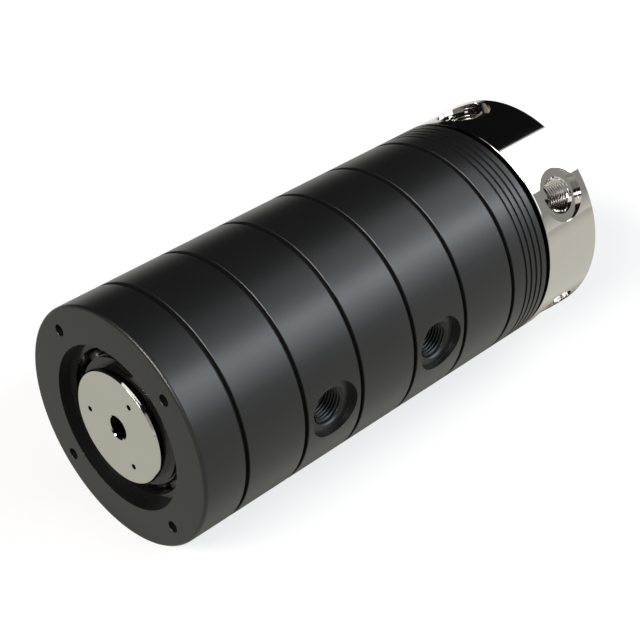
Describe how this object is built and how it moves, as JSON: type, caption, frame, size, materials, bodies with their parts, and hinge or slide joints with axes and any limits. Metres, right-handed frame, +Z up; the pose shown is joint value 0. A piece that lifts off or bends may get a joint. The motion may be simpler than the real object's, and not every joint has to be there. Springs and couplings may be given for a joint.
{
  "type": "hydraulic rotary union",
  "caption": "Cylindrical rotary union: a stacked black housing with threaded side ports round a plated rotor whose ported head turns on ball bearings.",
  "frame": {"origin": "centre of the housing's front face, on the axis of rotation", "axes": "+X along the axis from the housing's front face to the rotor's head, +Z up, -Y the side that ports 2 and 4 of the housing leave from"},
  "size_m": [0.238, 0.105, 0.105],
  "materials": {
    "anodised_housing": "matte bead-blasted black anodising",
    "nickel_rotor": "polished nickel plate",
    "bearing_steel": "ground and polished",
    "cage_steel": "pressed sheet",
    "clip_steel": "phosphated spring steel",
    "screw_steel": "black oxide",
    "washer_steel": "turned",
    "slide_plastic": "bronze-filled fluoropolymer",
    "seal_rubber": "black nitrile rubber"
  },
  "bodies": {
    "housing": {"front_cap": "anodised_housing", "rear_cap": "anodised_housing", "tie_screws": "screw_steel", "housing_circlip": "clip_steel", "backing_washer": "washer_steel", "dust_seal": "seal_rubber", "port_ring_1": "anodised_housing", "port_ring_2": "anodised_housing", "port_ring_3": "anodised_housing", "port_ring_4": "anodised_housing", "port_ring_5": "anodised_housing", "joint_oring_1": "seal_rubber", "energizer_oring_1": "seal_rubber", "slide_ring_1": "slide_plastic", "joint_oring_2": "seal_rubber", "energizer_oring_2": "seal_rubber", "slide_ring_2": "slide_plastic", "joint_oring_3": "seal_rubber", "energizer_oring_3": "seal_rubber", "slide_ring_3": "slide_plastic", "joint_oring_4": "seal_rubber", "energizer_oring_4": "seal_rubber", "slide_ring_4": "slide_plastic", "joint_oring_5": "seal_rubber", "energizer_oring_5": "seal_rubber", "slide_ring_5": "slide_plastic", "joint_oring_6": "seal_rubber", "energizer_oring_6": "seal_rubber", "slide_ring_6": "slide_plastic", "front_outer_ring": "bearing_steel", "rear_outer_ring": "bearing_steel"},
    "rotor": {"rotor": "nickel_rotor", "passage_plugs": "screw_steel", "shaft_circlip": "clip_steel", "front_inner_ring": "bearing_steel", "rear_inner_ring": "bearing_steel"},
    "front_ball_set": {"front_balls": "bearing_steel", "front_cage": "cage_steel"},
    "rear_ball_set": {"rear_balls": "bearing_steel", "rear_cage": "cage_steel"}
  },
  "joints": [
    {"name": "rotor_spin", "type": "hinge", "parent": "housing", "child": "rotor", "pos_m": [0, 0, 0], "axis": [1, 0, 0], "continuous": true},
    {"name": "front_balls_spin", "type": "hinge", "parent": "housing", "child": "front_ball_set", "pos_m": [0, 0, 0], "axis": [1, 0, 0], "continuous": true},
    {"name": "rear_balls_spin", "type": "hinge", "parent": "housing", "child": "rear_ball_set", "pos_m": [0, 0, 0], "axis": [1, 0, 0], "continuous": true}
  ],
  "couplings": [
    {"joint": "front_balls_spin", "follows": "rotor_spin", "ratio": 0.448},
    {"joint": "rear_balls_spin", "follows": "rotor_spin", "ratio": 0.448}
  ]
}
